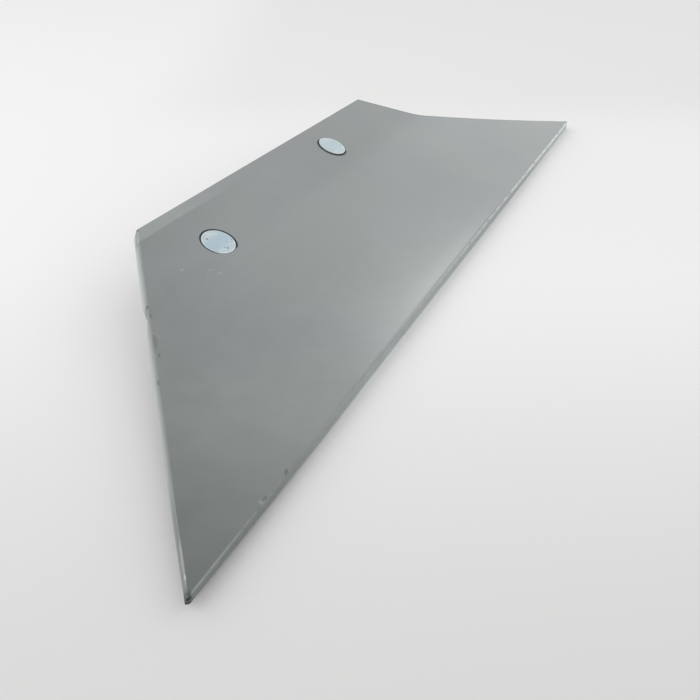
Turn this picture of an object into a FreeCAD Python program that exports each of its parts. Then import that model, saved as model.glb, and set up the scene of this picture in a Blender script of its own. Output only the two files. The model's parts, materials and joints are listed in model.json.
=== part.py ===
import FreeCAD, Part
import Sketcher
import os
from math import radians, sqrt, tan

# A right-hand ploughshare: one steel plate cut to a trapezoid, pressed to a shallow curve and
# turned up along its top edge, with the two plough bolts and nuts that hold it to the plough.
# Lengths are in millimetres and angles in degrees.
#
# The plate is drawn flat under its cutting edge: X runs from the point to the wing, Y from the
# cutting edge to the top edge, and Z up out of the working face. It is then leaned back until
# the end of its front bolt meets the ground, which is how it lies when it is put down.

SIZES = [
    ("share_length", 683.0, "cutting edge, from the sharp point to the wing corner"),
    ("share_width", 184.0, "from the cutting edge to the top edge"),
    ("plate_thickness", 8.0, "plate"),
    ("landside_angle", 42.4, "between the landside edge and the cutting edge"),
    ("landside_slant", 12.0, "how far the side of the landside edge slopes in to the face"),
    ("landside_land_slant", 16.0, "the same, along the bolting land"),
    ("wing_angle", 52.0, "between the rear edge and the cutting edge"),
    ("press_radius", 1800.0, "shallow curve of the working face"),
    ("knee_radius", 70.0, "bend between the working face and the bolting land"),
    ("land_slope", 16.5, "turn of the bolting land above the cutting edge"),
    ("land_width", 45.0, "bolting land, from the bend to the top edge"),
    ("edge_break", 0.8, "ground-off arris of the cutting edge"),
    ("point_radius", 2.0, "rounding of the point in plan"),
    ("point_wear_length", 160.0, "how far back the underside of the point is worn"),
    ("point_wear_depth", 3.1, "metal worn off under the sharp point"),
    ("chip_from_point", 52.0, "middle of the chip under the cutting edge"),
    ("chip_length", 28.0, "chip under the cutting edge"),
    ("chip_depth", 4.4, "height of the chip on the cutting edge"),
    ("chip_slope", 22.0, "how steeply the chip runs out under the plate"),
    ("nick_from_point", 196.0, "middle of the nick in the foot of the landside edge"),
    ("nick_length", 20.0, "nick in the foot of the landside edge"),
    ("nick_depth", 1.4, "nick in the foot of the landside edge"),
    ("front_bolt_along", 35.0, "front bolt, back from the front end of the top edge"),
    ("rear_bolt_along", 106.7, "rear bolt, forward from the rear end of the top edge"),
    ("front_bolt_inset", 41.4, "front bolt, down the land from the top edge"),
    ("rear_bolt_inset", 27.7, "rear bolt, down the land from the top edge"),
    ("head_radius", 12.0, "bolt head"),
    ("head_rim", 0.6, "straight rim of the bolt head"),
    ("shank_radius", 6.0, "bolt shank"),
    ("bolt_length", 30.0, "bolt, head and all"),
    ("bolt_chamfer", 1.0, "end of the bolt"),
    ("neck_depth", 7.4, "foot of the square neck, below the top of the head"),
    ("seat_clearance", 0.05, "between the head and its countersink"),
    ("neck_clearance", 0.2, "between a side of the square neck and its hole"),
    ("nut_across_flats", 19.0, "nut"),
    ("nut_height", 10.0, "nut"),
    ("nut_face_radius", 9.2, "flat of the nut's outer end"),
    ("nut_corner_angle", 30.0, "rounding of the corners at the nut's outer end"),
    ("nut_bore_clearance", 0.1, "between the nut's bore and the shank"),
    ("nut_bore_chamfer", 0.8, "mouths of the nut's bore"),
]

# How far a cutting sketch reaches past the metal that it cuts away.
CUT_MARGIN = 20.0

# What follows from the sizes. The sketches and places below use these cells as well.
LAYOUT = [
    ("land_start_y", "=Sizes.share_width - Sizes.land_width * cos(Sizes.land_slope)"),
    ("knee_start_y", "=(land_start_y / Sizes.knee_radius - sin(Sizes.land_slope))"
                     " / (1 / Sizes.knee_radius - 1 / Sizes.press_radius)"),
    ("knee_turn", "=asin(knee_start_y / Sizes.press_radius)"),
    ("press_rise", "=Sizes.press_radius * (1 - cos(knee_turn))"),
    ("knee_rise", "=Sizes.knee_radius * (cos(knee_turn) - cos(Sizes.land_slope))"),
    ("land_start_z", "=Sizes.plate_thickness + press_rise + knee_rise"),
    ("top_z", "=land_start_z + Sizes.land_width * sin(Sizes.land_slope)"),
    ("knee_start_z", "=Sizes.plate_thickness + press_rise"),
    ("before_point_y", f"={-CUT_MARGIN}"),
    ("before_point_z", "=Sizes.plate_thickness"),
    ("past_top_y", f"=Sizes.share_width + {CUT_MARGIN}"),
    ("past_top_z", f"=top_z + {CUT_MARGIN} * tan(Sizes.land_slope)"),
    ("top_front_x", "=Sizes.share_width / tan(Sizes.landside_angle)"),
    ("top_rear_x", "=Sizes.share_length - Sizes.share_width / tan(Sizes.wing_angle)"),
    ("front_bolt_x", "=top_front_x + Sizes.front_bolt_along"),
    ("rear_bolt_x", "=top_rear_x - Sizes.rear_bolt_along"),
    ("front_bolt_y", "=Sizes.share_width - Sizes.front_bolt_inset * cos(Sizes.land_slope)"),
    ("front_bolt_z", "=top_z - Sizes.front_bolt_inset * sin(Sizes.land_slope)"),
    ("rear_bolt_y", "=Sizes.share_width - Sizes.rear_bolt_inset * cos(Sizes.land_slope)"),
    ("rear_bolt_z", "=top_z - Sizes.rear_bolt_inset * sin(Sizes.land_slope)"),
    ("bolt_end_radius", "=Sizes.shank_radius - Sizes.bolt_chamfer"),
    ("ground_y", "=front_bolt_y + Sizes.bolt_length * sin(Sizes.land_slope)"
                 " - bolt_end_radius * cos(Sizes.land_slope)"),
    ("ground_z", "=front_bolt_z - Sizes.bolt_length * cos(Sizes.land_slope)"
                 " - bolt_end_radius * sin(Sizes.land_slope)"),
    ("lean", "=atan(-ground_z / ground_y)"),
    ("bolt_tilt", "=lean + Sizes.land_slope * 1deg"),
    ("back_y", "=Sizes.share_width + Sizes.plate_thickness * sin(Sizes.land_slope)"),
    ("back_z", "=top_z - Sizes.plate_thickness * cos(Sizes.land_slope)"),
    ("footprint_back", "=back_y * cos(lean) - back_z * sin(lean)"),
    ("footprint_front", "=-(Sizes.plate_thickness - Sizes.edge_break) * sin(lean)"),
    ("footprint_tip", "=Sizes.point_radius / tan(Sizes.landside_angle / 2) - Sizes.point_radius"
                      " - (Sizes.plate_thickness - Sizes.point_wear_depth)"
                      " * tan(Sizes.landside_slant) / sin(Sizes.landside_angle)"),
    ("middle_x", "=(footprint_tip + Sizes.share_length) / 2"),
    ("middle_y", "=(footprint_front + footprint_back) / 2"),
    ("nick_radius", "=(Sizes.nick_length * Sizes.nick_length / 4"
                    " + Sizes.nick_depth * Sizes.nick_depth) / (2 * Sizes.nick_depth)"),
    ("nick_centre", "=nick_radius - Sizes.nick_depth"
                    " + Sizes.plate_thickness * tan(Sizes.landside_slant)"),
    ("chip_rise", "=Sizes.chip_depth * cos(Sizes.chip_slope)"),
    ("chip_radius", "=(Sizes.chip_length * Sizes.chip_length / 4 + chip_rise * chip_rise)"
                    " / (2 * chip_rise)"),
]

# How a constraint names the points of a line or an arc, and the sketch's own origin and axes.
START, END, CENTRE = range(1, 4)
ORIGIN = (-1, START)
X_AXIS, Y_AXIS = range(-1, -3, -1)


def fill_sheet(doc, name, rows):
    """A page of named cells: the name, the value, and a note where there is one."""
    page = doc.addObject("Spreadsheet::Sheet", name)
    for number, (alias, value, *note) in enumerate(rows, start=1):
        page.set(f"A{number}", alias)
        page.set(f"B{number}", str(value))
        page.set(f"C{number}", " ".join(note))
        page.setAlias(f"B{number}", alias)
    doc.recompute()
    return page


def number(page, alias):
    """The value of a cell, without its unit."""
    value = page.get(alias)
    return float(getattr(value, "Value", value))


def new_body(doc, name):
    body = doc.addObject("PartDesign::Body", name)
    body.Label = name
    return body


def new_sketch(body, name, role, offset=None):
    """A sketch on one of the body's own origin planes. offset holds an expression for each
    part of its attachment offset that isn't zero; a turn is about the sketch's own axis."""
    sketch = body.newObject("Sketcher::SketchObject", name)
    plane = next(item for item in body.Origin.OriginFeatures if item.Role == role)
    sketch.AttachmentSupport = [(plane, "")]
    sketch.MapMode = "FlatFace"
    offset = offset or {}
    turn_axis = offset.get("turn_axis", FreeCAD.Vector(0, 0, 1))
    sketch.AttachmentOffset = FreeCAD.Placement(FreeCAD.Vector(), FreeCAD.Rotation(turn_axis, 1))
    for axis in ("x", "y", "z"):
        sketch.setExpression(f"AttachmentOffset.Base.{axis}", offset.get(axis, "0"))
    sketch.setExpression("AttachmentOffset.Rotation.Angle", offset.get("turn", "0"))
    return sketch


def size(sketch, name, formula, *constraint):
    """A sketch dimension with a name, driven by a formula on the sheets."""
    index = sketch.addConstraint(Sketcher.Constraint(*constraint))
    sketch.renameConstraint(index, name)
    sketch.setExpression(f"Constraints.{name}", formula)


def rule(sketch, *constraint):
    sketch.addConstraint(Sketcher.Constraint(*constraint))


def closed_outline(sketch, points):
    """Straight lines from point to point and back to the first, joined at their ends."""
    vectors = [FreeCAD.Vector(x, y, 0) for x, y in points]
    lines = []
    for start, end in zip(vectors, vectors[1:] + vectors[:1]):
        lines.append(sketch.addGeometry(Part.LineSegment(start, end)))
    for line, following in zip(lines, lines[1:] + lines[:1]):
        rule(sketch, "Coincident", line, END, following, START)
    return lines


def cut(body, sketch, name, upward=False):
    """A pocket through all the metal on one side of the sketch."""
    pocket = body.newObject("PartDesign::Pocket", name)
    pocket.Profile = sketch
    pocket.Reversed = upward
    pocket.Type = "ThroughAll"
    return pocket


def turned_groove(body, sketch, name):
    """A groove turned about the sketch's upright axis."""
    groove = body.newObject("PartDesign::Groove", name)
    groove.Profile = sketch
    groove.ReferenceAxis = (sketch, ["V_Axis"])
    groove.Angle = 360


def draw_cross_section(sketch, sizes, layout):
    """The plate from its cutting edge to its top edge: two arcs and a straight land,
    each a plate thickness above its own back."""
    plate = number(sizes, "plate_thickness")
    press = number(sizes, "press_radius")
    knee = number(sizes, "knee_radius")
    edge_break = number(sizes, "edge_break")
    width = number(sizes, "share_width")
    turn = radians(number(layout, "knee_turn"))
    slope = radians(number(sizes, "land_slope"))
    quarter = radians(90)
    up = FreeCAD.Vector(0, 0, 1)

    def arc(centre, radius, start_turn, end_turn):
        circle = Part.Circle(centre, up, radius)
        return Part.ArcOfCircle(circle, start_turn - quarter, end_turn - quarter)

    press_centre = FreeCAD.Vector(0, plate + press, 0)
    knee_start = arc(press_centre, press, 0, turn).EndPoint
    knee_centre = press_centre + (knee_start - press_centre) * ((press - knee) / press)
    press_face = arc(press_centre, press, edge_break / press, turn)
    knee_face = arc(knee_centre, knee, turn, slope)
    knee_back = arc(knee_centre, knee + plate, turn, slope)
    press_back = arc(press_centre, press + plate, 0, turn)
    top_front = FreeCAD.Vector(width, number(layout, "top_z"), 0)
    top_back = FreeCAD.Vector(number(layout, "back_y"), number(layout, "back_z"), 0)
    side_foot = FreeCAD.Vector(0, 0, 0)
    side_top = FreeCAD.Vector(0, plate - edge_break, 0)

    side = sketch.addGeometry(Part.LineSegment(side_foot, side_top))
    broken = sketch.addGeometry(Part.LineSegment(side_top, press_face.StartPoint))
    press_face = sketch.addGeometry(press_face)
    land_face = Part.LineSegment(knee_face.EndPoint, top_front)
    land_back = Part.LineSegment(top_back, knee_back.EndPoint)
    knee_face = sketch.addGeometry(knee_face)
    land_face = sketch.addGeometry(land_face)
    top_edge = sketch.addGeometry(Part.LineSegment(top_front, top_back))
    land_back = sketch.addGeometry(land_back)
    knee_back = sketch.addGeometry(knee_back)
    press_back = sketch.addGeometry(press_back)

    rule(sketch, "Coincident", side, START, *ORIGIN)
    rule(sketch, "Vertical", side)
    rule(sketch, "Coincident", side, END, broken, START)
    rule(sketch, "Coincident", broken, END, press_face, START)
    rule(sketch, "PointOnObject", press_face, CENTRE, Y_AXIS)
    rule(sketch, "Tangent", press_face, END, knee_face, START)
    rule(sketch, "Tangent", knee_face, END, land_face, START)
    rule(sketch, "Coincident", land_face, END, top_edge, START)
    rule(sketch, "Perpendicular", land_face, top_edge)
    rule(sketch, "Coincident", top_edge, END, land_back, START)
    rule(sketch, "Parallel", land_face, land_back)
    rule(sketch, "Tangent", land_back, END, knee_back, END)
    rule(sketch, "Coincident", knee_back, CENTRE, knee_face, CENTRE)
    rule(sketch, "Tangent", knee_back, START, press_back, END)
    rule(sketch, "Coincident", press_back, CENTRE, press_face, CENTRE)
    rule(sketch, "Coincident", press_back, START, *ORIGIN)
    size(sketch, "side_height", "Sizes.plate_thickness - Sizes.edge_break",
         "DistanceY", *ORIGIN, side, END, plate - edge_break)
    size(sketch, "edge_break", "Sizes.edge_break", "DistanceX", *ORIGIN, broken, END, edge_break)
    size(sketch, "press_radius", "Sizes.press_radius", "Radius", press_face, press)
    size(sketch, "press_back_radius", "Sizes.press_radius + Sizes.plate_thickness",
         "Radius", press_back, press + plate)
    size(sketch, "knee_radius", "Sizes.knee_radius", "Radius", knee_face, knee)
    size(sketch, "land_slope", "Sizes.land_slope", "Angle", land_face, slope)
    size(sketch, "land_width", "Sizes.land_width",
         "Distance", land_face, number(sizes, "land_width"))
    size(sketch, "share_width", "Sizes.share_width",
         "DistanceX", *ORIGIN, land_face, END, width)


def draw_landside_section(sketch, sizes, layout, place, slant):
    """What is cut away outside the landside edge, looking along the edge. The sketch's origin
    is on the edge of the working face, and the side of the plate slopes out and down from it."""
    angle = radians(number(sizes, slant))
    height = number(layout, f"{place}_z")
    above = number(layout, "top_z") + CUT_MARGIN - height
    below = height + CUT_MARGIN
    outside = number(sizes, "share_width")
    points = [(below * tan(angle), -below), (-above * tan(angle), above),
              (outside, above), (outside, -below)]
    side, top, outer, foot = closed_outline(sketch, points)
    rule(sketch, "PointOnObject", *ORIGIN, side)
    rule(sketch, "Horizontal", top)
    rule(sketch, "Vertical", outer)
    rule(sketch, "Horizontal", foot)
    size(sketch, "slant", f"90 + Sizes.{slant}", "Angle", side, radians(90) + angle)
    size(sketch, "above", f"Layout.top_z + {CUT_MARGIN} - Layout.{place}_z",
         "DistanceY", *ORIGIN, side, END, above)
    size(sketch, "below", f"Layout.{place}_z + {CUT_MARGIN}",
         "DistanceY", side, START, *ORIGIN, below)
    size(sketch, "outside", "Sizes.share_width", "DistanceX", *ORIGIN, top, END, outside)


def cut_landside(body, sizes, layout):
    """The side of the landside edge. The plate was sheared flat and then pressed, so its side
    slopes out further along the bolting land, and turns from one slope to the other in the
    bend."""
    stations = [("before_point", "landside_slant"), ("knee_start", "landside_slant"),
                ("land_start", "landside_land_slant"), ("past_top", "landside_land_slant")]
    sections = []
    for place, slant in stations:
        offset = {"x": f"Layout.{place}_y / tan(Sizes.landside_angle)",
                  "y": f"Layout.{place}_z", "z": f"-Layout.{place}_y",
                  "turn": "90 + Sizes.landside_angle", "turn_axis": FreeCAD.Vector(0, 1, 0)}
        section = new_sketch(body, f"landside_{place}", "XZ_Plane", offset)
        draw_landside_section(section, sizes, layout, place, slant)
        sections.append(section)
    sides = body.newObject("PartDesign::SubtractiveLoft", "landside_cut")
    sides.Profile = sections[0]
    sides.Sections = sections[1:]
    sides.Ruled = True


def draw_wing_cut(sketch, sizes):
    """Everything behind the rear edge, which runs forward and up from the wing corner."""
    length = number(sizes, "share_length")
    width = number(sizes, "share_width")
    reach = width + CUT_MARGIN
    points = [(length - reach, reach), (length + CUT_MARGIN, -CUT_MARGIN),
              (length + CUT_MARGIN, reach)]
    edge, side, top = closed_outline(sketch, points)
    corner = sketch.addGeometry(Part.Point(FreeCAD.Vector(length, 0, 0)), True)
    angle = -radians(number(sizes, "wing_angle"))
    rule(sketch, "PointOnObject", corner, START, X_AXIS)
    rule(sketch, "PointOnObject", corner, START, edge)
    rule(sketch, "Vertical", side)
    rule(sketch, "Horizontal", top)
    size(sketch, "corner", "Sizes.share_length", "DistanceX", *ORIGIN, corner, START, length)
    size(sketch, "wing_angle", "-Sizes.wing_angle", "Angle", edge, angle)
    size(sketch, "past_corner", f"{CUT_MARGIN}", "DistanceX", corner, START, edge, END, CUT_MARGIN)
    size(sketch, "past_top", f"Sizes.share_width + {CUT_MARGIN}",
         "DistanceY", *ORIGIN, edge, START, reach)


def draw_point_wear(sketch, sizes):
    """The wedge that is worn from under the point, seen from the cutting edge."""
    wear = number(sizes, "point_wear_length")
    depth = number(sizes, "point_wear_depth")
    points = [(wear, 0), (0, depth), (-CUT_MARGIN, depth), (-CUT_MARGIN, -CUT_MARGIN),
              (wear, -CUT_MARGIN)]
    face, lip, front, foot, back = closed_outline(sketch, points)
    rule(sketch, "PointOnObject", face, START, X_AXIS)
    rule(sketch, "PointOnObject", face, END, Y_AXIS)
    rule(sketch, "Horizontal", lip)
    rule(sketch, "Vertical", front)
    rule(sketch, "Horizontal", foot)
    rule(sketch, "Vertical", back)
    size(sketch, "wear_length", "Sizes.point_wear_length",
         "DistanceX", *ORIGIN, face, START, wear)
    size(sketch, "wear_depth", "Sizes.point_wear_depth",
         "DistanceY", *ORIGIN, face, END, depth)
    size(sketch, "before_point", f"{CUT_MARGIN}", "DistanceX", front, START, *ORIGIN, CUT_MARGIN)
    size(sketch, "below", f"{CUT_MARGIN}", "DistanceY", front, END, *ORIGIN, CUT_MARGIN)


def draw_chip(sketch, sizes, layout):
    """A shallow round bite out of the foot of the cutting edge."""
    radius = number(layout, "chip_radius")
    along = number(sizes, "chip_from_point")
    rise = number(layout, "chip_rise")
    circle = Part.Circle(FreeCAD.Vector(along, rise - radius, 0), FreeCAD.Vector(0, 0, 1), radius)
    circle = sketch.addGeometry(circle)
    size(sketch, "chip_radius", "Layout.chip_radius", "Radius", circle, radius)
    size(sketch, "chip_from_point", "Sizes.chip_from_point",
         "DistanceX", *ORIGIN, circle, CENTRE, along)
    size(sketch, "chip_centre", "Layout.chip_radius - Layout.chip_rise",
         "DistanceY", circle, CENTRE, *ORIGIN, radius - rise)


def draw_nick(sketch, sizes, layout):
    """A shallow round bite out of the foot of the landside edge."""
    radius = number(layout, "nick_radius")
    along = number(sizes, "nick_from_point")
    circle = Part.Circle(FreeCAD.Vector(along, along, 0), FreeCAD.Vector(0, 0, 1), radius)
    circle = sketch.addGeometry(circle)
    outside = "Layout.nick_centre"
    size(sketch, "nick_radius", "Layout.nick_radius", "Radius", circle, radius)
    size(sketch, "nick_x", f"Sizes.nick_from_point * cos(Sizes.landside_angle)"
         f" - {outside} * sin(Sizes.landside_angle)",
         "DistanceX", *ORIGIN, circle, CENTRE, along)
    size(sketch, "nick_y", f"Sizes.nick_from_point * sin(Sizes.landside_angle)"
         f" + {outside} * cos(Sizes.landside_angle)",
         "DistanceY", *ORIGIN, circle, CENTRE, along)


def draw_countersink(sketch, sizes):
    """Half the countersink, on the bolt's axis. Its cone carries on up past the rim of the
    head to the working face, which leaves the thin ring round the head."""
    head = number(sizes, "head_radius") + number(sizes, "head_rim")
    points = [(0, CUT_MARGIN), (0, -head), (head + CUT_MARGIN, CUT_MARGIN)]
    axis, cone, mouth = closed_outline(sketch, points)
    rule(sketch, "PointOnObject", axis, START, Y_AXIS)
    rule(sketch, "Vertical", axis)
    rule(sketch, "Horizontal", mouth)
    size(sketch, "cone_slope", "45", "Angle", cone, radians(45))
    size(sketch, "apex", "Sizes.head_radius + Sizes.head_rim + Sizes.seat_clearance",
         "DistanceY", axis, END, *ORIGIN, head)
    size(sketch, "above", f"{CUT_MARGIN}", "DistanceY", *ORIGIN, axis, START, CUT_MARGIN)


def draw_square(sketch, side_formula, side):
    """A square about the sketch's origin."""
    half = side / 2
    points = [(-half, -half), (half, -half), (half, half), (-half, half)]
    foot, right, top, left = closed_outline(sketch, points)
    rule(sketch, "Horizontal", foot)
    rule(sketch, "Vertical", right)
    rule(sketch, "Horizontal", top)
    rule(sketch, "Vertical", left)
    rule(sketch, "Symmetric", foot, START, top, START, *ORIGIN)
    size(sketch, "across", side_formula, "Distance", foot, side)
    size(sketch, "upright", side_formula, "Distance", right, side)


def make_share(doc, sizes, layout):
    body = new_body(doc, "share_blade")

    section = new_sketch(body, "cross_section", "YZ_Plane")
    draw_cross_section(section, sizes, layout)
    plate = body.newObject("PartDesign::Pad", "pressed_plate")
    plate.Profile = section
    plate.setExpression("Length", "Sizes.share_length")

    cut_landside(body, sizes, layout)
    doc.recompute()

    wing = new_sketch(body, "wing_line", "XY_Plane")
    draw_wing_cut(wing, sizes)
    wing_cut = cut(body, wing, "wing_cut", upward=True)
    doc.recompute()

    point = body.newObject("PartDesign::Fillet", "rounded_point")
    point.Base = (wing_cut, [edge_at_point(wing_cut.Shape)])
    point.setExpression("Radius", "Sizes.point_radius")

    wear = new_sketch(body, "point_wear_line", "XZ_Plane")
    draw_point_wear(wear, sizes)
    cut(body, wear, "point_wear")

    tilt = {"turn": "-Sizes.chip_slope", "turn_axis": FreeCAD.Vector(1, 0, 0)}
    chip = new_sketch(body, "chip_line", "XZ_Plane", tilt)
    draw_chip(chip, sizes, layout)
    cut(body, chip, "edge_chip")

    nick = new_sketch(body, "nick_line", "XY_Plane")
    draw_nick(nick, sizes, layout)
    cut(body, nick, "landside_nick", upward=True)

    for end in ("front", "rear"):
        place = {"x": f"Layout.{end}_bolt_y", "y": f"Layout.{end}_bolt_z",
                 "z": f"Layout.{end}_bolt_x", "turn": "Sizes.land_slope"}
        cone = new_sketch(body, f"{end}_countersink_line", "YZ_Plane", place)
        draw_countersink(cone, sizes)
        turned_groove(body, cone, f"{end}_countersink")

        place = {"x": f"Layout.{end}_bolt_x", "y": f"Layout.{end}_bolt_y",
                 "z": f"Layout.{end}_bolt_z", "turn": "Sizes.land_slope",
                 "turn_axis": FreeCAD.Vector(1, 0, 0)}
        square = new_sketch(body, f"{end}_square_line", "XY_Plane", place)
        side = 2 * number(sizes, "shank_radius") + 2 * number(sizes, "neck_clearance")
        draw_square(square, "2 * Sizes.shank_radius + 2 * Sizes.neck_clearance", side)
        cut(body, square, f"{end}_square_hole")
    return body


def edge_at_point(shape):
    """The name of the upright edge at the share's sharp point."""
    def distance(item):
        middle = item[1].CenterOfMass
        return abs(middle.x) + abs(middle.y)

    upright = [(number, edge) for number, edge in enumerate(shape.Edges, start=1)
               if abs(edge.BoundBox.ZLength) > edge.BoundBox.XLength]
    return f"Edge{min(upright, key=distance)[0]}"


def make_bolt(doc, name, sizes):
    """A plough bolt, with the top of its head at the origin and its shank down -Z."""
    body = new_body(doc, name)
    head = number(sizes, "head_radius")
    rim = number(sizes, "head_rim")
    shank = number(sizes, "shank_radius")
    length = number(sizes, "bolt_length")
    chamfer = number(sizes, "bolt_chamfer")
    profile = new_sketch(body, "half_section", "XZ_Plane")
    points = [(0, 0), (head, 0), (head, -rim), (shank, shank - head - rim),
              (shank, chamfer - length), (shank - chamfer, -length), (0, -length)]
    top, side, cone, barrel, bevel, foot, axis = closed_outline(profile, points)
    rule(profile, "Coincident", top, START, *ORIGIN)
    rule(profile, "Horizontal", top)
    rule(profile, "Vertical", side)
    rule(profile, "Vertical", barrel)
    rule(profile, "Horizontal", foot)
    rule(profile, "Vertical", axis)
    size(profile, "head_radius", "Sizes.head_radius", "DistanceX", *ORIGIN, top, END, head)
    size(profile, "head_rim", "Sizes.head_rim", "DistanceY", side, END, side, START, rim)
    size(profile, "shank_radius", "Sizes.shank_radius",
         "DistanceX", *ORIGIN, cone, END, shank)
    size(profile, "cone_depth", "Sizes.head_radius - Sizes.shank_radius",
         "DistanceY", cone, END, cone, START, head - shank)
    size(profile, "end_inset", "Sizes.bolt_chamfer", "DistanceX", bevel, END, bevel, START, chamfer)
    size(profile, "end_height", "Sizes.bolt_chamfer",
         "DistanceY", bevel, END, bevel, START, chamfer)
    size(profile, "bolt_length", "Sizes.bolt_length", "DistanceY", foot, END, *ORIGIN, length)
    turned = body.newObject("PartDesign::Revolution", "turned_bolt")
    turned.Profile = profile
    turned.ReferenceAxis = (profile, ["V_Axis"])
    turned.Angle = 360

    neck = new_sketch(body, "neck_line", "XY_Plane", {"z": "-Sizes.neck_depth"})
    draw_square(neck, "2 * Sizes.shank_radius", 2 * shank)
    square = body.newObject("PartDesign::Pad", "square_neck")
    square.Profile = neck
    square.setExpression("Length", "Sizes.neck_depth - Sizes.head_rim")
    return body


def draw_nut_rounding(sketch, sizes):
    """What is turned off the corners at the nut's outer end."""
    height = number(sizes, "nut_height")
    flat = number(sizes, "nut_face_radius")
    angle = radians(number(sizes, "nut_corner_angle"))
    reach = CUT_MARGIN
    points = [(flat, -height), (flat + reach, reach * 0.5 - height), (flat + reach, -height)]
    bevel, side, foot = closed_outline(sketch, points)
    rule(sketch, "Vertical", side)
    rule(sketch, "Horizontal", foot)
    size(sketch, "face_radius", "Sizes.nut_face_radius", "DistanceX", *ORIGIN, bevel, START, flat)
    size(sketch, "height", "Sizes.nut_height", "DistanceY", bevel, START, *ORIGIN, height)
    size(sketch, "corner_angle", "Sizes.nut_corner_angle", "Angle", bevel, angle)
    size(sketch, "outside", f"{CUT_MARGIN}", "DistanceX", foot, END, foot, START, reach)


def draw_nut_bore(sketch, sizes):
    """Half the nut's bore, whose mouths open out at both ends."""
    bore = number(sizes, "shank_radius") + number(sizes, "nut_bore_clearance")
    chamfer = number(sizes, "nut_bore_chamfer")
    height = number(sizes, "nut_height")
    mouth = bore + chamfer + CUT_MARGIN
    points = [(0, CUT_MARGIN), (0, -height - CUT_MARGIN), (mouth, -height - CUT_MARGIN),
              (bore, chamfer - height), (bore, -chamfer), (mouth, CUT_MARGIN)]
    axis, foot, lower, wall, upper, top = closed_outline(sketch, points)
    rule(sketch, "PointOnObject", axis, START, Y_AXIS)
    rule(sketch, "Vertical", axis)
    rule(sketch, "Horizontal", foot)
    rule(sketch, "Vertical", wall)
    rule(sketch, "Horizontal", top)
    size(sketch, "above", f"{CUT_MARGIN}", "DistanceY", *ORIGIN, axis, START, CUT_MARGIN)
    size(sketch, "below", f"Sizes.nut_height + {CUT_MARGIN}",
         "DistanceY", axis, END, *ORIGIN, height + CUT_MARGIN)
    size(sketch, "bore_radius", "Sizes.shank_radius + Sizes.nut_bore_clearance",
         "DistanceX", *ORIGIN, wall, END, bore)
    size(sketch, "near_mouth", "Sizes.nut_bore_chamfer", "DistanceY", wall, END, *ORIGIN, chamfer)
    size(sketch, "far_mouth", "Sizes.nut_height - Sizes.nut_bore_chamfer",
         "DistanceY", wall, START, *ORIGIN, height - chamfer)
    size(sketch, "near_slope", "45", "Angle", upper, radians(45))
    rule(sketch, "Perpendicular", lower, upper)


def make_nut(doc, name, sizes):
    """A hexagon nut, with the face that meets the share at the origin and the rest down -Z."""
    body = new_body(doc, name)
    flats = number(sizes, "nut_across_flats")
    outline = new_sketch(body, "hexagon", "XY_Plane")
    corner_radius = flats / sqrt(3)
    points = []
    for turn in range(0, 360, 60):
        corner = FreeCAD.Rotation(FreeCAD.Vector(0, 0, 1), turn).multVec(
            FreeCAD.Vector(corner_radius, 0, 0))
        points.append((corner.x, corner.y))
    sides = closed_outline(outline, points)
    ring = outline.addGeometry(
        Part.Circle(FreeCAD.Vector(), FreeCAD.Vector(0, 0, 1), corner_radius), True)
    rule(outline, "Coincident", ring, CENTRE, *ORIGIN)
    for side in sides:
        rule(outline, "PointOnObject", side, START, ring)
    for side in sides[1:]:
        rule(outline, "Equal", sides[0], side)
    rule(outline, "PointOnObject", sides[0], START, X_AXIS)
    size(outline, "corner_radius", "Sizes.nut_across_flats / sqrt(3)",
         "Radius", ring, corner_radius)
    blank = body.newObject("PartDesign::Pad", "blank")
    blank.Profile = outline
    blank.Reversed = True
    blank.setExpression("Length", "Sizes.nut_height")

    rounding = new_sketch(body, "corner_line", "XZ_Plane")
    draw_nut_rounding(rounding, sizes)
    turned_groove(body, rounding, "rounded_corners")

    bore = new_sketch(body, "bore_line", "XZ_Plane")
    draw_nut_bore(bore, sizes)
    turned_groove(body, bore, "bore")
    return body


def place_on_ground(body, along="0", across="0", up="0", turn="Layout.lean"):
    """Leans a piece back with the share about the foot of the cutting edge. along, across and
    up are its place on the share before the lean."""
    axis = FreeCAD.Vector(1, 0, 0)
    body.Placement = FreeCAD.Placement(FreeCAD.Vector(), FreeCAD.Rotation(axis, 1))
    body.setExpression("Placement.Rotation.Angle", turn)
    body.setExpression("Placement.Base.x", f"{along} - Layout.middle_x")
    body.setExpression("Placement.Base.y", f"({across}) * cos(Layout.lean)"
                       f" - ({up}) * sin(Layout.lean) - Layout.middle_y")
    body.setExpression("Placement.Base.z", f"({across}) * sin(Layout.lean)"
                       f" + ({up}) * cos(Layout.lean)")


def check(doc, pieces):
    for item in doc.Objects:
        if "Invalid" in item.State or "Error" in item.State:
            raise RuntimeError(f"{item.Name} failed to build: {item.State}")
    for piece in pieces:
        if piece.Shape.isNull() or not piece.Shape.isValid():
            raise RuntimeError(f"{piece.Label} is not a sound solid")


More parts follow.
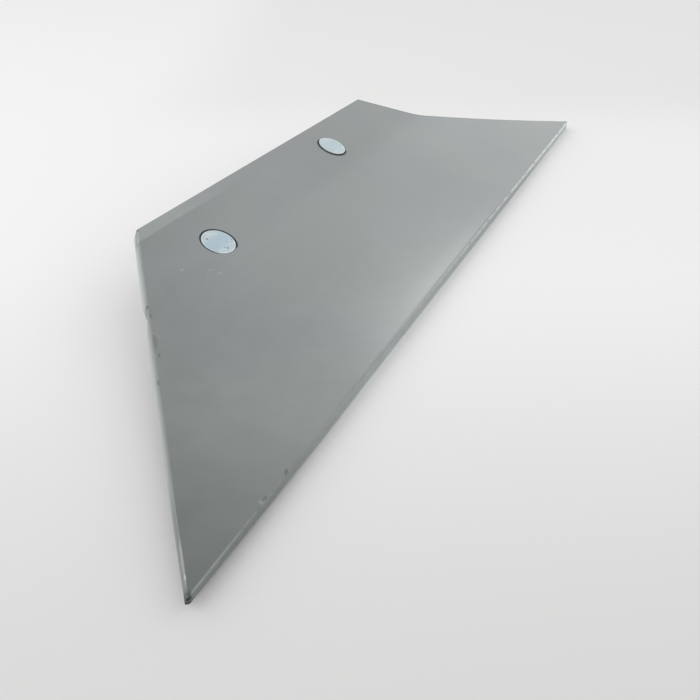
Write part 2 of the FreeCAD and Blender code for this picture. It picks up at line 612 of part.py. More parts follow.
def main():
    doc = FreeCAD.newDocument("ploughshare")
    sizes = fill_sheet(doc, "Sizes", SIZES)
    layout = fill_sheet(doc, "Layout", LAYOUT)

    share = make_share(doc, sizes, layout)
    place_on_ground(share)
    pieces = [share]
    for end in ("front", "rear"):
        bolt = make_bolt(doc, f"{end}_bolt", sizes)
        place_on_ground(bolt, f"Layout.{end}_bolt_x", f"Layout.{end}_bolt_y",
                        f"Layout.{end}_bolt_z", "Layout.bolt_tilt")
        nut = make_nut(doc, f"{end}_nut", sizes)
        place_on_ground(nut, f"Layout.{end}_bolt_x",
                        f"Layout.{end}_bolt_y + Sizes.plate_thickness * sin(Sizes.land_slope)",
                        f"Layout.{end}_bolt_z - Sizes.plate_thickness * cos(Sizes.land_slope)",
                        "Layout.bolt_tilt")
        pieces += [bolt, nut]
    doc.recompute()
    check(doc, pieces)

    os.makedirs("parts", exist_ok=True)
    for piece in pieces:
        piece.Shape.exportStep(f"parts/{piece.Label}.step")


main()
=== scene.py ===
import json
from math import atan2, cos, e, pi, radians, sin, tau

import bmesh
import bpy
from bpy.props import FloatProperty, FloatVectorProperty, PointerProperty
from mathutils import Matrix, Vector


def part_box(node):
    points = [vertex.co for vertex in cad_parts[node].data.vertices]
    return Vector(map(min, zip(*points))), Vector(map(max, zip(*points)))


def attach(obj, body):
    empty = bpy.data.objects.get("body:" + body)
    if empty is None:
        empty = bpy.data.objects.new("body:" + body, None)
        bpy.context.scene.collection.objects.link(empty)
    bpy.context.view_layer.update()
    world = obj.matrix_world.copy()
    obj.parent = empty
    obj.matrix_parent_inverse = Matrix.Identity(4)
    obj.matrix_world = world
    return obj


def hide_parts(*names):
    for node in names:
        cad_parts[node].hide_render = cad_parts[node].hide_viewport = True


bl_info = {
    "name": "Ploughshare",
    "version": (1, 0, 0),
    "blender": (4, 5, 0),
    "location": "View3D > Sidebar > Ploughshare",
    "description": "Paint, plough bolts and studio for a trapezoid ploughshare",
    "category": "Object",
}

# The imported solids, and the box that they fill.
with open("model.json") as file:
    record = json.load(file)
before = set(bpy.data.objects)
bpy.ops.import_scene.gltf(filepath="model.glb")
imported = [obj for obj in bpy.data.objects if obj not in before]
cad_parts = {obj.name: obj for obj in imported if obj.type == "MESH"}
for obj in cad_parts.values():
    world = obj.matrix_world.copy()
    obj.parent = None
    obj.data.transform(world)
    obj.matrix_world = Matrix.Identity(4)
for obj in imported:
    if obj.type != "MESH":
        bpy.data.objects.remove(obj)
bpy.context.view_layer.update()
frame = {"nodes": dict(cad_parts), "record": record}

# The share's own sizes, in metres and radians.
MM = 0.001
SHARE_LENGTH = 683 * MM
SHARE_WIDTH = 184 * MM
PLATE_THICKNESS = 8 * MM
EDGE_BREAK = 0.8 * MM
LANDSIDE_ANGLE = radians(42.4)
WING_ANGLE = radians(52)
LAND_SLOPE = radians(16.5)

# The plough bolts, with the top of the head at 0 and the shank down -Z.
HEAD_RADIUS = 12 * MM
HEAD_RIM = 0.6 * MM
HEAD_ROUND = 0.25 * MM
SHANK_RADIUS = 6 * MM
NECK_DEPTH = 7.4 * MM
THREAD_START = 8 * MM
BOLT_LENGTH = 30 * MM
BOLT_CHAMFER = 1 * MM

# The flats at the thread's crest and root, as parts of its pitch.
CREST_FLAT = 0.125
ROOT_FLAT = 0.25

# How finely a bolt is divided: points round it, rings down its neck, and rings in each turn of
# its thread.
POINTS_ROUND = 96
NECK_RINGS = 14
TURN_RINGS = 14
SHARP_ANGLE = radians(35)


def place_of_bolt(end):
    """The matrix that puts a bolt's head in its countersink, from the free end of its stud."""
    stud = next(m for m in frame["record"]["mounts"] if m["name"] == f"{end}_stud")
    axis = Vector(stud["axis"])
    depth = BOLT_LENGTH - BOLT_CHAMFER - stud["dims"]["length_mm"] * MM / 2
    head = Vector(stud["pos_m"]) - axis * depth
    return Matrix.Translation(head) @ Matrix.Rotation(atan2(axis.y, -axis.z), 4, "X")


# The share lies leaned back about the foot of its cutting edge.
LEAN = place_of_bolt("front").to_euler().x - LAND_SLOPE


def point_of_share():
    """Where the share's point would be if it were sharp, at the foot of the cutting edge."""
    low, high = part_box("share_blade")
    return Vector((high.x - SHARE_LENGTH, low.y + (PLATE_THICKNESS - EDGE_BREAK) * sin(LEAN), 0))


class BladeLook(bpy.types.PropertyGroup):
    """The paint on the share."""

    paint: FloatVectorProperty(
        name="Paint", description="Silver-grey paint of the faces", subtype="COLOR",
        size=3, min=0, max=1, default=(0.263, 0.286, 0.275))
    tint: FloatVectorProperty(
        name="Tint", description="Bluer tone that the paint wanders to", subtype="COLOR",
        size=3, min=0, max=1, default=(0.263, 0.280, 0.288))
    # Pale bare metal of the worn arris, also painted on as a highlight.
    bare_and_glint: FloatVectorProperty(
        name="Worn arris", description="Where the paint is rubbed off an edge", subtype="COLOR",
        size=3, min=0, max=1, default=(0.50, 0.51, 0.50))
    # Painted shade in the countersinks round the heads, and the darker point.
    shade_and_dark_point: FloatVectorProperty(
        name="Marks", description="Dark marks in cuts and at the point", subtype="COLOR",
        size=3, min=0, max=1, default=(0.026, 0.033, 0.034))
    mottling: FloatProperty(
        name="Mottling", description="How much the paint's tone wanders", subtype="FACTOR",
        min=0, max=1, default=0.15)
    roughness: FloatProperty(
        name="Roughness", description="Roughness of the paint", subtype="FACTOR",
        min=0, max=1, default=0.42)


class BoltLook(bpy.types.PropertyGroup):
    """The plough bolts and their nuts."""

    zinc: FloatVectorProperty(
        name="Zinc", description="Bright zinc plate", subtype="COLOR",
        size=3, min=0, max=1, default=(0.455, 0.545, 0.58))
    blue_zinc: FloatVectorProperty(
        name="Bluer zinc", description="Bright zinc plate of the front bolt", subtype="COLOR",
        size=3, min=0, max=1, default=(0.475, 0.60, 0.665))
    pit: FloatVectorProperty(
        name="Pits", description="Dark ground of the pits", subtype="COLOR",
        size=3, min=0, max=1, default=(0.10, 0.13, 0.15))
    pale_zinc: FloatVectorProperty(
        name="Pale zinc", description="Whiter zinc at the rim and in patches", subtype="COLOR",
        size=3, min=0, max=1, default=(0.56, 0.60, 0.60))
    pitch: FloatProperty(
        name="Thread pitch", description="From one crest of the thread to the next",
        unit="LENGTH", min=0.5 * MM, max=3 * MM, default=1.75 * MM)
    thread_depth: FloatProperty(
        name="Thread depth", description="From the thread's crest to its root",
        unit="LENGTH", min=0, max=2 * MM, default=1.0 * MM)
    roughness: FloatProperty(
        name="Roughness", description="Roughness of the zinc", subtype="FACTOR",
        min=0, max=1, default=0.42)


class StudioLook(bpy.types.PropertyGroup):
    """The floor, the light and the camera."""

    floor: FloatVectorProperty(
        name="Floor", description="Plain pale floor", subtype="COLOR",
        size=3, min=0, max=1, default=(0.90, 0.90, 0.895))
    horizon: FloatProperty(
        name="Horizon", description="Strength of the world at the horizon",
        min=0, max=3, default=1.33)
    slope: FloatProperty(
        name="Slope", description="How much the horizon gains behind the share and loses in front",
        min=0, max=1, default=0.40)
    overhead: FloatProperty(
        name="Overhead", description="Strength of the world straight above",
        min=0, max=2, default=0.48)
    key: FloatProperty(
        name="Key light", description="Power of the large soft light", unit="POWER",
        min=0, default=8)
    shade: FloatProperty(
        name="Shade", description="How much the world darkens high up behind the share",
        subtype="FACTOR", min=0, max=1, default=0.7)
    backdrop: FloatProperty(
        name="Backdrop", description="How pale the world looks beyond the floor",
        min=0, max=1, default=0.75)
    lens: FloatProperty(
        name="Lens", description="Focal length of the camera", unit="CAMERA",
        min=10, max=200, default=38.56)


class Signal:
    """A number, colour or vector on its way through a material's nodes."""

    def __init__(self, recipe, socket):
        self.recipe = recipe
        self.socket = socket

    def math(self, operation, *values):
        return self.recipe.node("ShaderNodeMath", {"operation": operation}, dict(enumerate(values)))

    def __add__(self, other):
        return self.math("ADD", self, other)

    def __sub__(self, other):
        return self.math("SUBTRACT", self, other)

    def __mul__(self, other):
        return self.math("MULTIPLY", self, other)

    def __truediv__(self, other):
        return self.math("DIVIDE", self, other)

    def __pow__(self, other):
        return self.math("POWER", self, other)

    def __rpow__(self, other):
        return self.math("POWER", other, self)

    def __rsub__(self, other):
        return self.math("SUBTRACT", other, self)

    def __neg__(self):
        return self * -1

    def __abs__(self):
        return self.math("ABSOLUTE", self)

    __radd__ = __add__
    __rmul__ = __mul__

    def most(self, other):
        return self.math("MAXIMUM", self, other)

    def fade(self, start, end):
        """0 at start and 1 at end, with a soft turn at both."""
        settings = {"interpolation_type": "SMOOTHSTEP"}
        values = {"Value": self, "From Min": start, "From Max": end}
        return self.recipe.node("ShaderNodeMapRange", settings, values)

    def band(self, low, high, soft):
        """1 between low and high, and 0 outside, soft at both ends."""
        return self.fade(low - soft, low + soft) * self.fade(high + soft, high - soft)


class Recipe:
    """The node tree of one material or world, written as expressions."""

    def __init__(self, owner):
        owner.use_nodes = True
        self.tree = owner.node_tree
        self.tree.nodes.clear()

    def node(self, kind, settings, values, output=0):
        """Adds a node, with its settings set before the values or links of its sockets."""
        made = self.tree.nodes.new(kind)
        for name, value in settings.items():
            setattr(made, name, value)
        for name, value in values.items():
            if isinstance(value, Signal):
                self.tree.links.new(value.socket, made.inputs[name])
            else:
                made.inputs[name].default_value = value
        return Signal(self, made.outputs[output]) if made.outputs else None

    def mix(self, factor, first, second):
        """Two colours, or two links that carry colours."""
        values = {"Factor": factor, 6: self.colour(first), 7: self.colour(second)}
        return self.node("ShaderNodeMix", {"data_type": "RGBA"}, values, output=2)

    @staticmethod
    def colour(value):
        return value if isinstance(value, Signal) else (*value, 1)

    def noise(self, place, scale, detail, rough=0.55):
        values = {"Vector": place, "Scale": scale, "Detail": detail, "Roughness": rough}
        return self.node("ShaderNodeTexNoise", {}, values)

    def stretch(self, place, factors):
        return self.node("ShaderNodeVectorMath", {"operation": "MULTIPLY"}, {0: place, 1: factors})

    def shaded(self, colour, tone):
        """A colour made darker or paler by a tone round 1."""
        values = {0: colour, "Scale": tone}
        return self.node("ShaderNodeVectorMath", {"operation": "SCALE"}, values)

    def towards(self, direction, way):
        """The cosine of the angle between two directions."""
        values = {0: direction, 1: way}
        return self.node("ShaderNodeVectorMath", {"operation": "DOT_PRODUCT"}, values, "Value")

    def parts(self, vector):
        """A vector's x, y and z."""
        split = self.node("ShaderNodeSeparateXYZ", {}, {"Vector": vector}).socket.node
        return [Signal(self, output) for output in split.outputs]

    def bump(self, height, distance, strength):
        values = {"Height": height, "Distance": distance, "Strength": strength}
        return self.node("ShaderNodeBump", {}, values)

    def place(self):
        return self.node("ShaderNodeTexCoord", {}, {}, output="Object")

    def from_end(self, matrix):
        """The place as seen from a bolt: its head's middle at 0, its shank down -Z."""
        values = {"Vector": self.place(), "Location": matrix.translation,
                  "Rotation": matrix.to_euler()}
        return self.node("ShaderNodeMapping", {"vector_type": "TEXTURE"}, values)

    def surface(self, **values):
        """The Principled shader and the material's output."""
        names = {name.replace("_", " ").title(): value for name, value in values.items()}
        shader = self.node("ShaderNodeBsdfPrincipled", {}, names)
        self.node("ShaderNodeOutputMaterial", {}, {"Surface": shader})


def give(piece, material):
    piece.data.materials.clear()
    piece.data.materials.append(material)


# Where each head has painted shade round it, in the gap of its countersink: the middle of that arc,
# its reach to either side, how wide it is there, and how much it narrows towards its ends. It fades
# out at both ends over an angle.
SHADED_RINGS = (
    ("front", radians(73), radians(143), 1.6 * MM, 0.0),
    ("rear", radians(-160), radians(92), 4.4 * MM, 0.62),
)
ARC_FADE = 0.12

# A painted sheen near the cutting edge, and soft patches of painted light and shade on the face, the
# fourth a narrow
# painted sheen along the cutting edge: how far along and across they lie and how far they reach each
# way, in millimetres, and how much paler or darker they are. The painted sheen runs out over the
# cutting edge.
PAINTED_SHEEN = ((258, -42), (108, 58), 0.79)
SOFT_LIGHT_AND_SHADE = (
    ((460, 75), (110, 60), -0.075),
    ((100, 48), (50, 32), 0.065),
    ((235, 140), (60, 35), 0.045),
    ((325, 5), (95, 7), 0.11),
    ((160, 6), (35, 20), -0.05),
)

# The width of the painted light along the top edge, a pale strip, in millimetres.
TOP_LIGHT_WIDTH = 8.5

# Marks in the paint, and in the last two rows painted highlights on the landside arris by the point:
# how far along and across they lie, and half their length and width, in millimetres, their heading
# from the cutting edge, and how much paler or darker they are.
BLADE_MARKS_AND_GLINTS = (
    (148.5, 136.0, 1.8, 1.2, LANDSIDE_ANGLE, -0.45),
    (144.0, 129.2, 1.8, 0.9, LANDSIDE_ANGLE, -0.22),
    (126.2, 112.6, 7.0, 1.3, LANDSIDE_ANGLE, -0.16),
    (117.7, 103.4, 2.0, 0.7, radians(36), -0.28),
    (116.4, 104.6, 1.8, 0.6, radians(36), 0.10),
    (131.5, 116.2, 3.6, 0.6, radians(80), 0.14),
    (98.9, 89.8, 2.4, 0.8, LANDSIDE_ANGLE, -0.28),
    (192.8, 142.6, 2.0, 0.9, radians(10), 0.16),
    (206.5, 130.3, 1.2, 0.8, radians(-30), 0.22),
    (208.0, 124.0, 1.6, 0.8, radians(-30), 0.20),
    (198.2, 127.0, 1.2, 0.8, radians(40), 0.14),
    (195.3, 179.7, 2.2, 0.6, radians(30), -0.40),
    (192.0, 176.6, 2.2, 0.6, radians(40), -0.30),
    (194.0, 177.4, 2.5, 0.5, LANDSIDE_ANGLE, 0.22),
    (200.8, 183.5, 1.6, 1.3, 0, -0.45),
    (79.2, 0.9, 2.0, 1.0, radians(20), -0.35),
    (57.0, 1.6, 1.3, 0.8, radians(70), 0.30),
    (60.0, 1.0, 1.6, 0.8, 0, -0.25),
    # Painted highlights along the landside arris by the point.
    (7.6, 6.6, 1.5, 0.5, LANDSIDE_ANGLE, 0.45),
    (13.0, 11.9, 12.0, 0.7, LANDSIDE_ANGLE, 0.40),
)


class BladePlaces:
    """Where a point of the share lies, and which of its faces it is on."""

    def __init__(self, recipe):
        self.place = recipe.place()
        x, y, z = recipe.parts(self.place)
        normal = recipe.node("ShaderNodeNewGeometry", {}, {}, output="True Normal")
        side, _, self.up = recipe.parts(normal)

        # Millimetres along, across and up out of the plate, from the foot of its sharp point,
        # and in from its other edges.
        origin = point_of_share()
        level = y - origin.y
        self.along = (x - origin.x) * (1 / MM)
        self.across = (level * cos(LEAN) + z * sin(LEAN)) * (1 / MM)
        self.height = (z * cos(LEAN) - level * sin(LEAN)) * (1 / MM)
        self.from_landside = self.along * sin(LANDSIDE_ANGLE) - self.across * cos(LANDSIDE_ANGLE)
        self.from_top = SHARE_WIDTH / MM - self.across
        self.from_wing = ((SHARE_LENGTH / MM - self.along) * sin(WING_ANGLE)
                          - self.across * cos(WING_ANGLE))

        # 1 on the upper face, on all the sides, on the cutting edge's broken arris, on its side
        # and on the landside.
        self.upper_face = self.up.fade(0.82, 0.90)
        self.sides = 1 - abs(self.up).fade(0.30, 0.45)
        self.arris = (1 - self.upper_face) * (1 - self.sides) * self.across.fade(3, 1.5)
        self.cutting_side = self.sides * self.across.fade(1.5, 0.8)
        self.landside = self.sides * (-side).fade(0.3, 0.6) * self.from_landside.fade(6, 3)


def wandering_tone(recipe, blade, cloud, look):
    """Tone that wanders over hundreds of millimetres, over a few in clouds, and in the grain."""
    drift = recipe.noise(blade.place, 9, detail=2)
    grain = recipe.noise(blade.place, 900, detail=2)
    wander = (drift - 0.5) * 0.9 + (cloud - 0.5) * 1.1 + (grain - 0.5) * 0.5
    return 1 + wander * look.mottling


def soft_spot(blade, middle, reach):
    """1 in the middle of a patch that fades out all round, with no edge."""
    away = ((blade.along - middle[0]) * (1 / reach[0])) ** 2
    away = away + ((blade.across - middle[1]) * (1 / reach[1])) ** 2
    return e ** -away


def tone_of_face(tone, blade):
    """The upper face, with its painted sheen, its soft painted light and shade, and the lines along
    its edges.
    """
    face, along, across = blade.upper_face, blade.along, blade.across

    # Painted shade: it darkens at the point, slowly towards the wing, and by the top edge at the rear.
    tone = tone * (1 - face * along.fade(118, -30) * 0.30) * (1.07 - along * 0.00017)
    tone = tone * (1 - face * across.fade(90, 150) * along.fade(300, 420) * 0.10)

    # Painted sheen near the middle of the cutting edge, then soft patches of painted light and shade.
    middle, reach, gain = PAINTED_SHEEN
    sheen = soft_spot(blade, middle, reach) * (0.5 + 0.5 * across.fade(1.2, 3))
    tone = tone * (1 + face * sheen * gain)
    for middle, reach, gain in SOFT_LIGHT_AND_SHADE:
        tone = tone * (1 + face * soft_spot(blade, middle, reach) * gain)

    # A darker line by the cutting edge, a pale strip of painted light along the top edge, and a darker
    # wing end.
    tone = tone * (1 - face * across.band(0.9, 2.4, 0.5) * along.band(250, 430, 40) * 0.13)
    top_light = face * (1 - (blade.from_top - TOP_LIGHT_WIDTH).fade(-1.2, 1.2)) * along.fade(330, 215)
    tone = tone * (1 + top_light * 0.26)
    return tone * (1 - face * blade.from_wing.fade(3, 1) * 0.14)


def tone_of_cutting_edge(tone, blade):
    """Painted light on the cutting edge's side, which pales towards the wing, and painted shade on its
    arris, which darkens to the point.
    """
    side, along, height = blade.cutting_side, blade.along, blade.height
    # Painted light on the side, paler towards the wing.
    tone = tone * (0.9 + 0.6 * along.fade(20, 200) * side + 0.1 * (1 - side)
                   + 0.45 * along.fade(450, 660) * side)
    # More painted light high on the side at the wing end, and low on it nearer the point.
    painted_high_light = height.fade(4.5, 7) * along.fade(400, 620)
    painted_low_light = height.fade(3, 0.5) * along.fade(420, 250)
    tone = tone * (1 + side * (painted_high_light * 0.70 + painted_low_light * 0.28))
    # Painted shade on the arris towards the point.
    return tone * (1 - blade.arris * (along.fade(330, 100) * 0.25 + along.band(35, 100, 25) * 0.14))


def tone_of_landside(tone, blade):
    """The sheared landside: painted light over its rolled arris, and painted light on its side, which
    is palest low down.
    """
    inward = blade.from_landside
    at_tip = blade.across.fade(60, 20)
    # Painted light over the rolled arris, and on the side, palest low down.
    arris_light = blade.upper_face * (inward * (1 + at_tip * 1.4)).fade(1.5, -0.3)
    painted_low_light = 1.15 + 0.70 * (-inward).fade(0, 2.2)
    painted_low_light = painted_low_light * (1 - at_tip * 0.36)
    return tone * (1 + arris_light * (0.45 + at_tip * 0.35)) * (1 + blade.landside * (painted_low_light - 1))


def tone_of_marks(tone, blade):
    """Scuffs, scratches and dents in the paint, on the upper face and on the landside, and painted
    highlights on the landside arris by the point.
    """
    marked = blade.up.fade(-0.5, -0.3) * (1 - blade.cutting_side)
    for mark_along, mark_across, reach, half_width, heading, gain in BLADE_MARKS_AND_GLINTS:
        along = blade.along - mark_along
        across = blade.across - mark_across
        lengthwise = along * (cos(heading) / reach) + across * (sin(heading) / reach)
        crosswise = across * (cos(heading) / half_width) - along * (sin(heading) / half_width)
        mark = (lengthwise ** 2 + crosswise ** 2).fade(1.5, 0.4)
        tone = tone * (1 + mark * gain * marked)
    return tone


def shade_round_head(recipe, end, middle, reach, width, narrowing):
    """1 where shade is painted in a countersink, between the head and the paint."""
    x, y, z = recipe.parts(recipe.from_end(place_of_bolt(end)))
    radius = (x * x + y * y) ** 0.5
    facing = (x * cos(middle) + y * sin(middle)) / radius
    wide = width * (1 - narrowing * (1 - facing.most(0)))
    ring = ((radius - HEAD_RADIUS) / wide).fade(1, 0.65)
    ring = ring * facing.fade(cos(reach + ARC_FADE), cos(reach - ARC_FADE))
    return ring * z.fade(-3 * MM, -2 * MM)


def relief_of_paint(recipe, blade):
    """Orange peel and fine grain in the paint, and the shears' ripples on the sides."""
    peel = recipe.noise(blade.place, 420, detail=2)
    fine = recipe.noise(blade.place, 1500, detail=2)
    ripple = recipe.noise(recipe.stretch(blade.place, (1, 1, 4)), 330, detail=3) * blade.sides
    return peel * 0.6 + fine * 0.25 + ripple * 1.5


def painted_steel(look):
    """Silver-grey paint over the whole share, rubbed through along its cutting edge, with a painted
    highlight there.
    """
    material = bpy.data.materials.new("silver grey paint")
    recipe = Recipe(material)
    blade = BladePlaces(recipe)
    cloud = recipe.noise(blade.place, 60, detail=4)
    tone = wandering_tone(recipe, blade, cloud, look)
    for shading in (tone_of_face, tone_of_cutting_edge, tone_of_landside, tone_of_marks):
        tone = shading(tone, blade)
    bluer = recipe.noise(blade.place, 14, detail=1).fade(0.35, 0.65) * blade.along.fade(0, 200)
    paint = recipe.shaded(recipe.mix(bluer, look.paint, look.tint), tone)

    # The arris of the cutting edge is rubbed bare, with gaps, and carries a painted highlight that
    # grows towards the wing.
    wear = recipe.noise(recipe.stretch(blade.place, (1, 0.3, 0.3)), 260, detail=3)
    wear_and_glint = blade.arris * wear.fade(0.36, 0.52) * (0.1 + 0.9 * blade.along.fade(200, 560))
    colour = recipe.mix(wear_and_glint * 0.85, paint, look.bare_and_glint)

    # Painted shade in the countersinks round the heads is dark and dull.
    painted_rings = 0
    # Painted shade in the gap round each head.
    for ring in SHADED_RINGS:
        painted_ring = shade_round_head(recipe, *ring)
        colour = recipe.mix(painted_ring * 0.97, colour, look.shade_and_dark_point)
        painted_rings = painted_ring + painted_rings

    # The point is darker, with specks.
    specks = recipe.noise(blade.place, 700, detail=2).fade(0.42, 0.62)
    at_point = blade.along.fade(4.2, 1.5) * (1 - blade.upper_face * 0.4)
    colour = recipe.mix(at_point * (0.5 + specks * 0.5), colour, look.shade_and_dark_point)

    roughness = look.roughness + (cloud - 0.5) * 0.10 + blade.sides * 0.12 - wear_and_glint * 0.10 + painted_rings * 0.4
    recipe.surface(
        base_color=colour, metallic=0.6 + wear_and_glint * 0.2 - painted_rings * 0.5, roughness=roughness,
        normal=recipe.bump(relief_of_paint(recipe, blade), 0.06 * MM, 0.5))
    return material


def bright_zinc(look, end, shade, patchy=0.0, pits=()):
    """Blue-white zinc plate, a head's whiter at its rim and in patches, with a few dark pits."""
    material = bpy.data.materials.new(f"{end} bright zinc")
    recipe = Recipe(material)
    place = recipe.from_end(place_of_bolt(end))
    x, y, z = recipe.parts(place)
    drift = recipe.noise(place, 160, detail=3)
    spangle = recipe.noise(place, 900, detail=4, rough=0.6)
    radius = (x * x + y * y) ** 0.5
    on_head = z.fade(-0.4 * MM, -0.1 * MM)
    rim = on_head * radius.fade(0.90 * HEAD_RADIUS, 0.97 * HEAD_RADIUS)
    groove = on_head * radius.fade(0.80 * HEAD_RADIUS, 0.86 * HEAD_RADIUS) * (1 - rim)
    to_the_sides = on_head * abs(y).fade(3.5 * MM, 8 * MM)
    patches = to_the_sides * (0.5 + (drift - 0.5) * 1.5) * patchy
    tone = 0.94 + (drift - 0.5) * 0.16 + (spangle - 0.5) * 0.20
    tone = tone + rim * 0.22 - groove * 0.05 + patches * 0.26
    zinc = recipe.shaded(recipe.mix(patches + rim * 0.5, shade, look.pale_zinc), tone)
    pitted = 0
    for pit_x, pit_y, size in pits:
        away = ((x - pit_x * MM) ** 2 + (y - pit_y * MM) ** 2) ** 0.5
        pit = on_head * away.fade(size * MM, size * 0.5 * MM)
        pitted = pit.most(pitted)
    zinc = recipe.mix(pitted * 0.85, zinc, look.pit)
    relief = spangle * 0.4 + drift * 0.6 - pitted * 2
    recipe.surface(
        base_color=zinc, metallic=0.75, roughness=look.roughness + (spangle - 0.5) * 0.15,
        normal=recipe.bump(relief, 0.05 * MM, 0.6))
    return material


def within_one(value):
    return min(max(value, 0), 1)


def neck_radius(depth, angle):
    """The head's cone where it is the wider, and the square neck below."""
    cone = HEAD_RADIUS - (depth - HEAD_RIM)
    from_flat = abs((angle + pi / 4) % (pi / 2) - pi / 4)
    return max(cone, SHANK_RADIUS / cos(from_flat))


def thread_radius(depth, angle, look):
    """The cut thread, which begins gently, and the chamfer at the bolt's end."""
    turn = (depth / look.pitch - angle / tau) % 1
    slope = (abs(turn - 0.5) * 2 - CREST_FLAT) / (1 - CREST_FLAT - ROOT_FLAT)
    cut = look.thread_depth * within_one(slope)
    cut *= within_one((depth - THREAD_START) / look.pitch)
    chamfer = depth - (BOLT_LENGTH - BOLT_CHAMFER)
    return SHANK_RADIUS - max(cut, chamfer)


def bolt_rings(angles, look):
    """Each ring's depth and its radius at every angle, from the flat head to the bolt's end."""
    rings = [
        (0, [HEAD_RADIUS - HEAD_ROUND for _ in angles]),
        (HEAD_RIM * 0.35, [HEAD_RADIUS for _ in angles]),
        (HEAD_RIM, [HEAD_RADIUS for _ in angles]),
    ]
    for step in range(1, NECK_RINGS + 1):
        depth = HEAD_RIM + step * (NECK_DEPTH - HEAD_RIM) / NECK_RINGS
        rings.append((depth, [neck_radius(depth, angle) for angle in angles]))
    rows = round((BOLT_LENGTH - NECK_DEPTH) / look.pitch * TURN_RINGS)
    for row in range(rows + 1):
        depth = NECK_DEPTH + (BOLT_LENGTH - NECK_DEPTH) * row / rows
        rings.append((depth, [thread_radius(depth, angle, look) for angle in angles]))
    return rings


def bolt_mesh(name, look):
    """A plough bolt as rings down its axis: flat head, cone, square neck and cut thread."""
    angles = [step * tau / POINTS_ROUND for step in range(POINTS_ROUND)]
    made = bmesh.new()
    rings = []
    for depth, radii in bolt_rings(angles, look):
        ring = [(radius * cos(angle), radius * sin(angle), -depth)
                for angle, radius in zip(angles, radii)]
        rings.append([made.verts.new(point) for point in ring])
    for upper, lower in zip(rings, rings[1:]):
        for step in range(POINTS_ROUND):
            following = (step + 1) % POINTS_ROUND
            made.faces.new((upper[step], lower[step], lower[following], upper[following]))
    made.faces.new(rings[0])
    made.faces.new(reversed(rings[-1]))
    bmesh.ops.recalc_face_normals(made, faces=made.faces)
    mesh = bpy.data.meshes.new(name)
    made.to_mesh(mesh)
    made.free()
    mesh.shade_smooth()
    mesh.set_sharp_from_angle(angle=SHARP_ANGLE)
    return mesh


class PLOUGHSHARE_OT_finish_blade(bpy.types.Operator):
    """Paints the share"""

    bl_idname = "ploughshare.finish_blade"
    bl_label = "Paint the share"

    def execute(self, context):
        give(frame["nodes"]["share_blade"], painted_steel(context.scene.share_blade_look))
        return {"FINISHED"}


class PLOUGHSHARE_OT_make_bolts(bpy.types.Operator):
    """Makes both plough bolts, with cut threads and zinc plate"""

    bl_idname = "ploughshare.make_bolts"
    bl_label = "Make the plough bolts"

    # How patchy the zinc of each head is.
    PATCHY = {"front": 1.0, "rear": 0.35}

    # Pits in the top of each head: millimetres from its middle, and radius.
    PITS = {
        "front": [
            (-4.4, 6.6, 0.95), (-0.5, -8.1, 1.0), (-1.7, -6.4, 0.6), (1.4, -6.3, 0.5),
            (2.2, -8.1, 0.5), (4.2, -3.7, 0.5), (7.7, -6.0, 0.5), (3.9, -8.4, 0.4),
            (9.6, -4.4, 0.5), (-6.4, 4.2, 0.4)],
        "rear": [(6.6, -4.6, 0.6), (-6.5, 6.0, 0.5), (1.5, -8.5, 0.4)],
    }

    def execute(self, context):
        look = context.scene.plough_bolt_look
        for end in ("front", "rear"):
            name = f"{end}_plough_bolt"
            mesh = bolt_mesh(name, look)
            mesh.transform(place_of_bolt(end))
            bolt = bpy.data.objects.new(name, mesh)
            context.scene.collection.objects.link(bolt)
            shade = look.blue_zinc if end == "front" else look.zinc
            give(bolt, bright_zinc(look, end, shade, self.PATCHY[end], self.PITS[end]))
            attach(bolt, "root")
            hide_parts(f"{end}_bolt")
        return {"FINISHED"}


class PLOUGHSHARE_OT_finish_nuts(bpy.types.Operator):
    """Gives both nuts their zinc plate"""

    bl_idname = "ploughshare.finish_nuts"
    bl_label = "Finish the nuts"

    def execute(self, context):
        look = context.scene.plough_bolt_look
        for end in ("front", "rear"):
            give(frame["nodes"][f"{end}_nut"], bright_zinc(look, end, look.zinc))
        return {"FINISHED"}


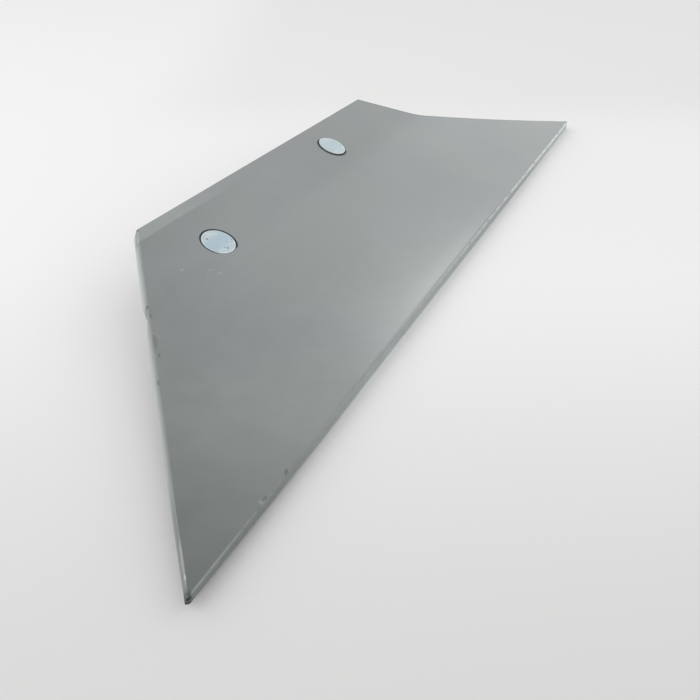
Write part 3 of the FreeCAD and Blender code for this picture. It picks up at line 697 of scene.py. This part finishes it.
class PLOUGHSHARE_OT_set_stage(bpy.types.Operator):
    """Sets the floor, the light and the camera"""

    bl_idname = "ploughshare.set_stage"
    bl_label = "Set the stage"

    # Where the camera stands, and how far it looks down and to the side of the cutting edge.
    CAMERA_PLACE = (-0.48548, -0.23206, 0.25289)
    LOOKING_DOWN = radians(33.881)
    FROM_EDGE = radians(25.786)
    SENSOR_MM = 36
    NEAREST_SEEN = 0.01

    # Painted shade on the floor: it is darker in front of the share, and a little beyond it.
    FLOOR_REACH = 6.0
    FRONT_SHADE = 0.76
    BEYOND_SHADE = 0.925

    # Which way the world's horizon is brightest and how high it reaches, as a sine, and where
    # the world is darkest and how far round there.
    BRIGHT_WAY = (0.869, 0.495, 0.0)
    HORIZON_TOP = 0.38
    SHADED_WAY = (0.442, 0.453, 0.774)
    SHADED_REACH = radians(28)

    # The large soft light stands beyond the share's point, on the landside.
    KEY_PLACE = (-1.1, 0.9, 1.4)
    KEY_SIZE = 1.4

    def execute(self, context):
        look = context.scene.studio_look
        self.make_floor(context, look)
        self.make_world(context, look)
        self.make_key(context, look)
        self.make_camera(context, look)
        context.scene.view_settings.view_transform = "Standard"
        return {"FINISHED"}

    def make_floor(self, context, look):
        mesh = bpy.data.meshes.new("floor")
        made = bmesh.new()
        bmesh.ops.create_grid(made, x_segments=1, y_segments=1, size=self.FLOOR_REACH)
        made.to_mesh(mesh)
        made.free()
        floor = bpy.data.objects.new("floor", mesh)
        context.scene.collection.objects.link(floor)
        material = bpy.data.materials.new("pale floor")
        recipe = Recipe(material)
        x, y, _ = recipe.parts(recipe.place())
        ahead = x * cos(self.FROM_EDGE) + y * sin(self.FROM_EDGE)
        aside = x * sin(self.FROM_EDGE) - y * cos(self.FROM_EDGE)
        front = [self.FRONT_SHADE * part for part in look.floor]
        shade = recipe.mix(ahead.fade(-0.45, -0.05), front, look.floor)
        beyond = ahead.fade(0.20, 0.42) * aside.fade(-0.30, -0.10)
        shade = recipe.mix(beyond, shade, [self.BEYOND_SHADE * part for part in look.floor])
        recipe.surface(base_color=shade, roughness=0.8)
        give(floor, material)

    def make_world(self, context, look):
        world = bpy.data.worlds.new("pale studio")
        context.scene.world = world
        recipe = Recipe(world)
        direction = recipe.node("ShaderNodeTexCoord", {}, {}, output="Generated")
        height = recipe.parts(direction)[2]
        horizon = look.horizon + recipe.towards(direction, self.BRIGHT_WAY) * look.slope
        strength = horizon + height.fade(self.HORIZON_TOP, 1) * (look.overhead - horizon)
        shaded = recipe.towards(direction, self.SHADED_WAY).fade(cos(self.SHADED_REACH), 1)
        strength = strength * (1 - shaded * look.shade)

        # Beyond the floor the camera sees one plain tone, which lights nothing.
        seen = recipe.node("ShaderNodeLightPath", {}, {}, output="Is Camera Ray")
        strength = strength + seen * (look.backdrop - strength)
        light = recipe.node("ShaderNodeBackground", {}, {"Color": (1, 1, 1, 1), "Strength": strength})
        recipe.node("ShaderNodeOutputWorld", {}, {"Surface": light})

    def make_key(self, context, look):
        data = bpy.data.lights.new("key softbox", "AREA")
        data.size = self.KEY_SIZE
        data.energy = look.key
        lamp = bpy.data.objects.new("key softbox", data)
        context.scene.collection.objects.link(lamp)
        lamp.location = self.KEY_PLACE
        lamp.rotation_euler = (-Vector(self.KEY_PLACE)).to_track_quat("-Z", "Y").to_euler()

    def make_camera(self, context, look):
        data = bpy.data.cameras.new("camera")
        data.lens = look.lens
        data.sensor_width = self.SENSOR_MM
        data.clip_start = self.NEAREST_SEEN
        camera = bpy.data.objects.new("camera", data)
        context.scene.collection.objects.link(camera)
        camera.location = self.CAMERA_PLACE
        ahead = Vector((
            cos(self.LOOKING_DOWN) * cos(self.FROM_EDGE),
            cos(self.LOOKING_DOWN) * sin(self.FROM_EDGE),
            -sin(self.LOOKING_DOWN)))
        camera.rotation_euler = ahead.to_track_quat("-Z", "Y").to_euler()
        context.scene.camera = camera


class PLOUGHSHARE_PT_panel(bpy.types.Panel):
    """The share's pieces and their settings"""

    bl_label = "Ploughshare"
    bl_space_type = "VIEW_3D"
    bl_region_type = "UI"
    bl_category = "Ploughshare"

    def draw(self, context):
        for operator, look in STEPS:
            box = self.layout.box()
            box.operator(operator.bl_idname)
            if look:
                settings = getattr(context.scene, look)
                for name in settings.bl_rna.properties.keys():
                    if name not in ("rna_type", "name"):
                        box.prop(settings, name)


STEPS = (
    (PLOUGHSHARE_OT_finish_blade, "share_blade_look"),
    (PLOUGHSHARE_OT_make_bolts, "plough_bolt_look"),
    (PLOUGHSHARE_OT_finish_nuts, None),
    (PLOUGHSHARE_OT_set_stage, "studio_look"),
)
LOOKS = {
    "share_blade_look": BladeLook,
    "plough_bolt_look": BoltLook,
    "studio_look": StudioLook,
}


def register():
    for look, group in LOOKS.items():
        bpy.utils.register_class(group)
        setattr(bpy.types.Scene, look, PointerProperty(type=group))
    for operator, _ in STEPS:
        bpy.utils.register_class(operator)
    bpy.utils.register_class(PLOUGHSHARE_PT_panel)


def unregister():
    bpy.utils.unregister_class(PLOUGHSHARE_PT_panel)
    for operator, _ in reversed(STEPS):
        bpy.utils.unregister_class(operator)
    for look, group in reversed(LOOKS.items()):
        delattr(bpy.types.Scene, look)
        bpy.utils.unregister_class(group)


def main():
    register()
    bpy.ops.ploughshare.finish_blade()
    bpy.ops.ploughshare.make_bolts()
    bpy.ops.ploughshare.finish_nuts()
    bpy.ops.ploughshare.set_stage()


if __name__ == "__main__":
    main()
